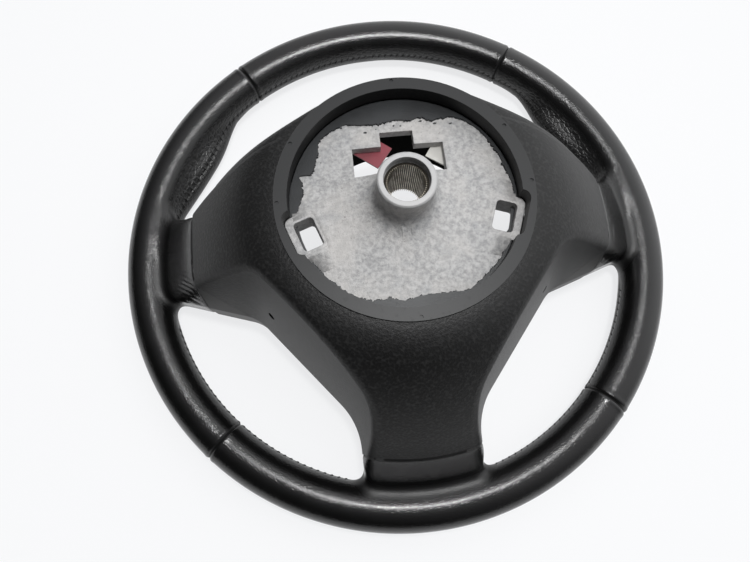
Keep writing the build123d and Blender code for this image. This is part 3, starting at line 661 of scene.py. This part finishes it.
def lacing(finish):
    """Thread of the laced seam on the inside of the rim."""
    points = []
    faces = []
    for step in range(int(360.0 / LACE_STEP)):
        angle = step * LACE_STEP
        path = []
        for share in np.linspace(-1.0, 1.0, THREAD_POINTS):
            spot = rim_surface(angle + share * LACE_STEP * STITCH_SHARE, RIM_Z + share * STITCH_HEIGHT)
            if spot is None:
                break
            lift = STITCH_LIFT - STITCH_DIP * share**2
            outward = spot * (1, 1, 0)
            path.append(spot - outward / np.linalg.norm(outward) * lift)
        if len(path) == THREAD_POINTS:
            thread_tube(path, points, faces)
    make_piece("rim_lacing", points, faces, finish)


def plate_z(radius):
    """Height of the hub plate's coned top."""
    return PLATE_TOP_Z - PLATE_FALL * radius / PLATE_RADIUS


def ear_blend(side, finish):
    """Soft step of the casting from the frame of a side window down to the plate."""
    tilt = radians(-side * EAR_TILT)
    points = []
    for across, along, start in EAR_CORNERS:
        for turn in np.radians(np.linspace(start, start + 90, EAR_STEPS)):
            for out, share, sink in EAR_SECTION:
                bend = EAR_CORNER - EAR_INSET + out
                x = across * (EAR_HALF[0] - EAR_CORNER) + bend * cos(turn)
                y = along * (EAR_HALF[1] - EAR_CORNER) + bend * sin(turn)
                plan = np.array((x * cos(tilt) - y * sin(tilt), x * sin(tilt) + y * cos(tilt)))
                plan += (side * EAR_PLACE[0], EAR_PLACE[1])
                plan *= min(1.0, (PLATE_RADIUS - EAR_EDGE) / np.hypot(*plan))
                base = plate_z(np.hypot(*plan))
                points.append((*plan, base + (EAR_TOP_Z - base) * share + EAR_LIFT - sink))
    faces = strip_faces(len(EAR_CORNERS) * EAR_STEPS, len(EAR_SECTION), loop=True)
    make_piece(f"ear_blend_{SIDES[side]}", points, faces, finish)


def boss_blend(finish):
    """Fillet of the casting between the boss and the plate, cut off at the upper window."""
    profile_r, rise = np.array(BOSS_FILLET).T
    profile_z = plate_z(profile_r) + rise
    points = []
    for angle in np.arange(BOSS_STEPS) * 2 * pi / BOSS_STEPS:
        to_window = WINDOW_LOW / max(sin(angle), WINDOW_SINE)
        reach = min(max(to_window, BOSS_LEAST_REACH), profile_r[-1])
        radii = np.minimum(profile_r, reach)
        heights = np.interp(radii, profile_r, profile_z)
        section = list(zip(radii, heights))
        section += [(reach, plate_z(reach) - BOSS_SINK), (BOSS_WALL, plate_z(BOSS_WALL) - BOSS_SINK)]
        points += [(radius * cos(angle), radius * sin(angle), height) for radius, height in section]
    faces = strip_faces(BOSS_STEPS, len(BOSS_FILLET) + 2, loop=True)
    make_piece("boss_blend", points, faces, finish)


def shoulder_web(side, finish):
    """Web of the cover that runs straight from the collar into the upper edge of a side spoke."""
    knots = np.array(SHOULDER)
    out = np.array((cos(radians(UPPER_EDGE[0])), sin(radians(UPPER_EDGE[0]))))
    points = []
    for x in np.linspace(knots[0, 0], knots[-1, 0], SHOULDER_STEPS):
        edge = np.array((x, np.interp(x, knots[:, 0], knots[:, 1])))
        for offset, drop in SHOULDER_SECTION:
            plan = edge + out * offset
            plan *= max(1.0, (COLLAR_RADIUS - COLLAR_WALL) / np.hypot(*plan))
            height, _ = dome_height(np.hypot(*plan))
            points.append((side * plan[0], plan[1], float(height) + drop))
    faces = strip_faces(SHOULDER_STEPS, len(SHOULDER_SECTION))
    make_piece(f"shoulder_web_{SIDES[side]}", points, faces, finish)


def hub_lip(name, lip, finish):
    """Edge of the foam that shows in the hub, round the whole axis or a part of it."""
    low, high, section = lip
    angles = np.radians(np.arange(low, high, LIP_STEP))
    points = [(r * cos(angle), r * sin(angle), z) for angle in angles for r, z in section]
    faces = strip_faces(len(angles), len(section), loop=high - low >= 360.0)
    make_piece(name, points, faces, finish, smooth=False)


def skin_tear(finish):
    """Torn inner edge of the skin on the hub plate, and flakes of it left on the metal."""
    rng = np.random.default_rng(TEAR_SEED)
    knots = np.array([angle for angle, _ in SKIN_EDGE] + [SKIN_EDGE[0][0] + 360.0])
    widths = np.array([width for _, width in SKIN_EDGE] + [SKIN_EDGE[0][1]])
    points = []
    faces = []

    upper = (EAR_ANGLE + EAR_SPAN, 180.0 - EAR_ANGLE - EAR_SPAN)
    lower = (-180.0 - EAR_ANGLE + EAR_SPAN, EAR_ANGLE - EAR_SPAN)
    for low, high in (upper, lower):
        angles = np.arange(low, high, TEAR_STEP)
        edge = SKIN_RADIUS - np.interp((angles - knots[0]) % 360.0 + knots[0], knots, widths)
        jag = np.zeros(len(angles))
        for stride, size in TEAR_JAGS:
            marks = np.arange(0, len(angles) + stride, stride)
            jag += size * np.interp(np.arange(len(angles)), marks, rng.uniform(*TEAR_JAG_RANGE, len(marks)))
        inner = edge - np.maximum(jag, TEAR_LEAST_JAG)
        first = len(points)
        for angle, r_edge, r_inner in zip(np.radians(angles), edge, inner):
            plan = np.array((cos(angle), sin(angle), 0.0))
            outer = min(r_edge + TEAR_OVERLAP, SKIN_RADIUS - TEAR_OUTER_GAP)
            lip = min(r_inner + TEAR_LIP, outer - TEAR_LIP_GAP)
            for radius, over in zip((outer, r_inner, r_inner, lip, outer), TEAR_HEIGHTS):
                points.append(plan * radius + (0.0, 0.0, plate_z(radius) + over * SKIN_THICKNESS))
        faces += strip_faces(len(angles), len(TEAR_HEIGHTS), first)

    for angle in FLAKE_ANGLES:
        reach = SKIN_RADIUS - np.interp(angle, knots, widths) - rng.uniform(*FLAKE_DISTANCE)
        middle = np.array((reach * cos(radians(angle)), reach * sin(radians(angle)), plate_z(reach)))
        size = rng.uniform(*FLAKE_SIZE)
        first = len(points)
        for level in FLAKE_LEVELS:
            rng_ring = np.random.default_rng(int(angle * 10))
            for turn in np.arange(FLAKE_CORNERS) * 2 * pi / FLAKE_CORNERS:
                stretch = size * rng_ring.uniform(*FLAKE_CORNER)
                points.append(middle + (stretch * FLAKE_LENGTH * cos(turn), stretch * sin(turn), level))
        faces += strip_faces(len(FLAKE_LEVELS), FLAKE_CORNERS, first)
    make_piece("skin_tear", points, faces, finish, smooth=False)


# Materials

class Wire:
    """A shader socket that takes part in Python expressions, each of which adds a Math node."""

    def __init__(self, finish, socket):
        self.finish = finish
        self.socket = socket

    def maths(self, operation, first, second):
        return self.finish.node("Math", {"operation": operation}, {0: first, 1: second})

    def __add__(self, other):
        return self.maths("ADD", self, other)

    def __radd__(self, other):
        return self.maths("ADD", other, self)

    def __sub__(self, other):
        return self.maths("SUBTRACT", self, other)

    def __rsub__(self, other):
        return self.maths("SUBTRACT", other, self)

    def __mul__(self, other):
        return self.maths("MULTIPLY", self, other)

    def __rmul__(self, other):
        return self.maths("MULTIPLY", other, self)

    def __pow__(self, other):
        return self.maths("POWER", self, other)

    def step(self, low, high):
        """0 below low, 1 above high, smooth between."""
        return self.finish.node(
            "MapRange", {"interpolation_type": "SMOOTHSTEP"},
            {"Value": self, "From Min": low, "From Max": high},
        )


class Tree:
    """A node tree while its nodes are being joined."""

    def __init__(self, tree):
        self.tree = tree

    def feed(self, socket, value):
        """Link a socket, or set its value."""
        if isinstance(value, Wire):
            self.tree.links.new(value.socket, socket)
        else:
            socket.default_value = value

    def node(self, kind, settings=None, inputs=None, output=0):
        """Any node: its settings first, then the values or links of its sockets."""
        node = self.tree.nodes.new("ShaderNode" + kind)
        for key, value in (settings or {}).items():
            if key == "stops":
                elements = node.color_ramp.elements
                while len(elements) < len(value):
                    elements.new(0.5)
                for element, (position, colour) in zip(elements, value):
                    element.position = position
                    element.color = (*colour, 1.0)
            else:
                setattr(node, key, value)
        for key, value in (inputs or {}).items():
            self.feed(node.inputs[key], value)
        return Wire(self, node.outputs[output])


class Finish(Tree):
    """A procedural material."""

    def __init__(self, name, **sockets):
        self.material = bpy.data.materials.new(name)
        self.material.use_nodes = True
        super().__init__(self.material.node_tree)
        self.shader = self.tree.nodes["Principled BSDF"]
        self.set(**sockets)
        self.place = self.node("TexCoord", output="Object")

    def set(self, **sockets):
        """Feed the shader's own sockets, named with _ for spaces."""
        for key, value in sockets.items():
            self.feed(self.shader.inputs[key.replace("_", " ")], value)

    def noise(self, size, detail=3.0, roughness=0.55):
        """Noise from 0 to 1 with patches of a size in mm."""
        return self.node(
            "TexNoise", {},
            {"Vector": self.place, "Scale": 1.0 / (size * MM), "Detail": detail, "Roughness": roughness},
        )

    def cells(self, size, feature="F1", place=None):
        """Distance to the nearest of scattered points, for a grain of a size in mm."""
        return self.node(
            "TexVoronoi", {"feature": feature}, {"Vector": place or self.place, "Scale": 1.0 / (size * MM)},
        )

    def blend(self, share, first, second):
        """Colour between two colours."""
        return self.node("Mix", {"data_type": "RGBA"}, {0: share, 6: first, 7: second}, output=2)

    def coordinate(self, axis):
        """One coordinate of the place, in mm."""
        return self.node("SeparateXYZ", {}, {0: self.place}, output=axis) * (1.0 / MM)

    def from_axis(self):
        """Distance from the wheel's axis, in mm."""
        x = self.coordinate(0)
        y = self.coordinate(1)
        return (x * x + y * y) ** 0.5

    def rim_angle(self):
        """Angle round the rim in radians, clockwise from twelve o'clock."""
        x = self.coordinate(0)
        return x.maths("ARCTAN2", x, self.coordinate(1))

    def mask(self, name):
        """Value stored on the vertices."""
        return self.node("Attribute", {"attribute_name": name}, {}, output="Fac")

    def bump(self, height, depth, edge=0.0):
        """Surface relief with a depth in mm, over edges that are rounded by a radius in mm."""
        sockets = {"Height": height, "Distance": depth * MM}
        if edge:
            sockets["Normal"] = self.node("Bevel", {"samples": 6}, {"Radius": edge * MM})
        self.set(Normal=self.node("Bump", {}, sockets))


def grey(value, warm=0.0):
    """Neutral colour, a little warmer or cooler."""
    return (value * (1 + warm), value, value * (1 - warm), 1.0)


def leather_finish():
    """Black grained leather, shiny where hands have polished it."""
    f = Finish("black_leather", IOR=1.5)
    coarse = f.mask("coarse")
    crease = f.mask("crease")
    along = f.rim_angle() * (RIM_RADIUS * MM * FOLD_STRETCH)
    rim_place = f.node("CombineXYZ", {}, {0: along, 1: f.from_axis() * MM, 2: f.coordinate(2) * MM})
    fine = f.cells(1.35, "DISTANCE_TO_EDGE").step(0.0, 0.2)
    folds = f.cells(2.3, "DISTANCE_TO_EDGE", rim_place).step(0.0, 0.22)
    patches = f.noise(28.0)
    tone = f.blend(patches.step(0.3, 0.75), grey(0.003), grey(0.005))
    # Painted sheen: a lighter tone on the coarse folds that stands in for the highlights on their wrinkles
    tone = f.blend(coarse * 0.6, tone, grey(0.01))
    # Painted shade at the seams, at the cover and in the valleys
    tone = f.blend(crease, tone, grey(0.003))
    wear = f.noise(9.0, 4.0).step(0.35, 0.7)
    f.set(Base_Color=tone, Roughness=0.18 + wear * 0.05 + coarse * 0.16 + crease * 0.3)
    f.bump(fine * 0.5 + folds * coarse * 2.4 + f.noise(3.0) * 0.22, 0.06)
    return f.material


def cover_finish():
    """Moulded black plastic with a fine grain, a smooth ring on the collar, and painted shade in the collar's
    well.
    """
    f = Finish("moulded_cover", IOR=1.48, Specular_IOR_Level=0.34)
    radius = f.from_axis()
    height = f.coordinate(2)
    ring = (1.0 - radius.step(*COLLAR_RING)) * height.step(*COLLAR_RING_Z)
    # Painted shade inside the collar's well, below its top
    well_shade = (1.0 - radius.step(*COLLAR_WELL_SHADE)) * (1.0 - height.step(*COLLAR_WELL_SHADE_Z))
    grain = f.cells(1.3, "SMOOTH_F1")
    fine = f.cells(0.55)
    patches = f.noise(40.0)
    tone = f.blend(patches.step(0.3, 0.7), grey(0.004), grey(0.006, -0.01))
    tone = f.blend(grain.step(0.35, 0.75) * 0.7, tone, grey(0.02))
    tone = f.blend(ring, tone, grey(0.02, -0.03))
    tone = f.blend(well_shade, tone, grey(0.003))
    scuff = f.noise(3.0, 6.0).step(0.55, 0.8)
    f.set(Base_Color=tone, Roughness=0.45 + scuff * 0.06)
    f.bump((grain + fine * 0.6) * (1.0 - ring * 0.92), 0.1)
    return f.material


def cast_finish(name, edge):
    """Bare cast light metal, mottled and stained, with rounded edges and a turned end on the boss."""
    f = Finish(name, IOR=1.5)
    turned = f.coordinate(2).step(*BOSS_END_Z) * (1.0 - f.from_axis().step(*BOSS_END))
    mottle = f.noise(2.6, 8.0, 0.66)
    broad = f.noise(24.0, 3.0)
    stains = f.noise(20.0, 9.0, 0.8).step(0.5, 0.62)
    tone = f.blend(mottle.step(0.34, 0.66), grey(0.28, 0.0), grey(0.47, 0.01))
    tone = f.blend(broad.step(0.4, 0.7) * 0.6, tone, grey(0.48, 0.04))
    tone = f.blend(stains * 0.32, tone, grey(0.26, -0.05))
    specks = f.noise(1.1, 3.0, 0.6).step(0.64, 0.7) * broad.step(0.42, 0.58)
    tone = f.blend(specks * 0.7, tone, grey(0.09, 0.1))
    tone = f.blend(turned * 0.8, tone, grey(0.42))
    f.set(Base_Color=tone, Metallic=0.2, Roughness=0.56 + mottle * 0.12 - turned * 0.08)
    pits = f.cells(0.9).step(0.0, 0.35)
    f.bump((mottle * 1.4 + pits * 0.25) * (1.0 - turned), 0.35, edge)
    return f.material


def skin_finish():
    """Satin skin of the foam moulding, with painted shade, darker and browner, towards the front."""
    f = Finish("foam_skin", IOR=1.45)
    patches = f.noise(16.0, 4.0)
    dust = f.noise(2.2, 6.0, 0.7).step(0.58, 0.78)
    front = 1.0 - f.coordinate(2).step(*SKIN_BACK_Z)
    tone = f.blend(patches.step(0.3, 0.7), grey(0.016, -0.08), grey(0.024, -0.08))
    # Painted shade: darker and browner towards the front, deep in the hub
    tone = f.blend(front, tone, grey(0.008, 0.12))
    tone = f.blend(dust * 0.2, tone, grey(0.08))
    f.set(Base_Color=tone, Roughness=0.46 + dust * 0.2)
    f.bump(f.noise(0.9, 4.0) + patches * 0.8, 0.08)
    return f.material


def spline_finish():
    """Oiled steel teeth, with painted shade at their roots."""
    f = Finish("oiled_steel", Metallic=0.9)
    stains = f.noise(3.0, 5.0, 0.65)
    tone = f.blend(stains.step(0.35, 0.7), (0.5, 0.46, 0.38, 1), (0.2, 0.17, 0.13, 1))
    # Painted shade: near black at the roots of the teeth
    tone = f.blend(f.from_axis().step(*TOOTH_ROOT_SHADE), tone, (0.015, 0.013, 0.01, 1))
    f.set(Base_Color=tone, Roughness=0.24 + stains * 0.2)
    f.bump(f.noise(0.5, 3.0), 0.03)
    return f.material


def pocket_shade_finish():
    """Foam inside the pocket, painted near black and almost without reflections as its shade."""
    f = Finish("pocket_shade_foam", Specular_IOR_Level=0.04)
    pores = f.noise(1.2, 5.0, 0.7)
    f.set(Base_Color=f.blend(pores.step(0.4, 0.65), grey(0.002), grey(0.005)), Roughness=0.9)
    f.bump(pores, 0.3)
    return f.material


def steel_finish(name, tone, dark, roughness):
    """Steel with oil film and small stains."""
    f = Finish(name, Metallic=0.85)
    stains = f.noise(3.0, 5.0, 0.65)
    f.set(Base_Color=f.blend(stains.step(0.35, 0.7), tone, dark), Roughness=roughness + stains * 0.2)
    f.bump(f.noise(0.5, 3.0), 0.03)
    return f.material


def plain_finish(name, tone, second, grain, depth, roughness):
    """Moulded plastic, film or thread with a faint grain."""
    f = Finish(name)
    patches = f.noise(grain * 12, 4.0)
    f.set(Base_Color=f.blend(patches.step(0.35, 0.7), tone, second), Roughness=roughness + patches * 0.12)
    f.bump(f.cells(grain), depth)
    return f.material


leather = leather_finish()
skin = skin_finish()
cover = cover_finish()
cast_blend = cast_finish("cast_metal_blend", 0.0)
thread = plain_finish("lacing_thread", grey(0.012), grey(0.03), 0.4, 0.06, 0.55)
trim = plain_finish("trim_plastic", grey(0.035), grey(0.05), 0.7, 0.06, 0.45)
spring_wire = steel_finish("spring_wire", grey(0.5), grey(0.36), 0.25)
NODE_FINISHES = {
    "armature": cast_finish("cast_metal", 0.9),
    "spline_bush": spline_finish(),
    "foam_moulding": skin,
    "back_cover": cover,
    "spoke_trim_right": trim,
    "spoke_trim_bottom": trim,
    "spoke_trim_left": trim,
    "cover_screws": steel_finish("zinc_steel", grey(0.5), grey(0.38), 0.3),
    "airbag_spring_right": spring_wire,
    "airbag_spring_left": spring_wire,
    "red_tag": plain_finish("red_film", (0.2, 0.018, 0.032, 1), (0.16, 0.015, 0.026, 1), 0.8, 0.03, 0.45),
    "pale_tag": plain_finish("pale_film", (0.62, 0.61, 0.57, 1), (0.52, 0.51, 0.48, 1), 0.8, 0.03, 0.5),
}
for node, finish in NODE_FINISHES.items():
    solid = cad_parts[node]
    solid.data.materials.clear()
    solid.data.materials.append(finish)

# Pieces over the solids
for panel, start, end in (
    ("top", -UPPER_SEAM_ANGLE, UPPER_SEAM_ANGLE),
    ("right", UPPER_SEAM_ANGLE, LOWER_SEAM_ANGLE),
    ("bottom", LOWER_SEAM_ANGLE, 360.0 - LOWER_SEAM_ANGLE),
    ("left", -LOWER_SEAM_ANGLE, -UPPER_SEAM_ANGLE),
):
    covered = [f"leather_{panel}"]
    if panel != "top":
        covered.append(f"spoke_leather_{panel}")
    leather_panel(f"{panel}_leather", start, end, covered, leather)
lacing(thread)
fitted_foam(skin)
skin_tear(skin)
hub_lip("skin_lip", SKIN_LIP, skin)
# Foam edge in the pocket, finished near black as painted shade
hub_lip("pocket_lip", POCKET_LIP, pocket_shade_finish())
boss_blend(cast_blend)
for side in SIDES:
    ear_blend(side, cast_blend)
    shoulder_web(side, cover)


# Studio

def set_up(name, data, axes, place):
    """Lamp or camera at a place, with its axes to the right, up and back."""
    holder = bpy.data.objects.new(name, data)
    bpy.context.scene.collection.objects.link(holder)
    columns = np.eye(4)
    columns[:3, :3] = np.array(axes).T
    columns[:3, 3] = place
    holder.matrix_world = Matrix(columns.tolist())
    return holder


def pale_floor():
    """Wide floor that glows where the camera or a reflection sees it."""
    half = FLOOR_HALF
    corners = [(-half, -half, 0), (half, -half, 0), (half, half, 0), (-half, half, 0)]
    mesh = bpy.data.meshes.new("floor")
    mesh.from_pydata(corners, [], [(0, 1, 2, 3)])
    floor = bpy.data.objects.new("floor", mesh)
    bpy.context.scene.collection.objects.link(floor)
    f = Finish("pale_floor", Base_Color=grey(0.86), Roughness=0.7)
    seen = f.node("LightPath", output="Is Camera Ray") + f.node("LightPath", output="Is Glossy Ray")
    seen = seen + f.node("LightPath", output="Is Transmission Ray")
    glow = f.node("Emission", {}, {"Color": FLOOR_GLOW, "Strength": 1.0})
    mixed = f.node("MixShader", {}, {0: seen * FLOOR_GLOW_SHARE, 1: Wire(f, f.shader.outputs[0]), 2: glow})
    f.feed(f.tree.nodes["Material Output"].inputs["Surface"], mixed)
    mesh.materials.append(f.material)


def bright_room():
    """Room with one bright side."""
    world = bpy.data.worlds.new("studio")
    world.use_nodes = True
    bpy.context.scene.world = world
    sky = Tree(world.node_tree)
    toward = sky.node(
        "VectorMath", {"operation": "DOT_PRODUCT"},
        {0: sky.node("TexCoord", output="Generated"), 1: BRIGHT_SIDE}, output="Value",
    )
    light = sky.node("ValToRGB", {"stops": SKY}, {0: 0.5 + toward * 0.5})
    sky.feed(world.node_tree.nodes["Background"].inputs["Color"], light)


pale_floor()
bright_room()

lamp = bpy.data.lights.new("key_softbox", "AREA")
lamp.shape = "SQUARE"
lamp.size = LAMP_SIZE
lamp.energy = LAMP_POWER
set_up("key_softbox", lamp, LAMP_AXES, LAMP_PLACE)

camera = bpy.data.cameras.new("camera")
camera.sensor_width = CAMERA_SENSOR
camera.lens = CAMERA_SENSOR * CAMERA_FOCAL / PICTURE_WIDTH
camera.clip_start = CAMERA_CLIP
scene = bpy.context.scene
scene.camera = set_up("camera", camera, CAMERA_AXES, CAMERA_PLACE)
scene.view_settings.view_transform = "Standard"
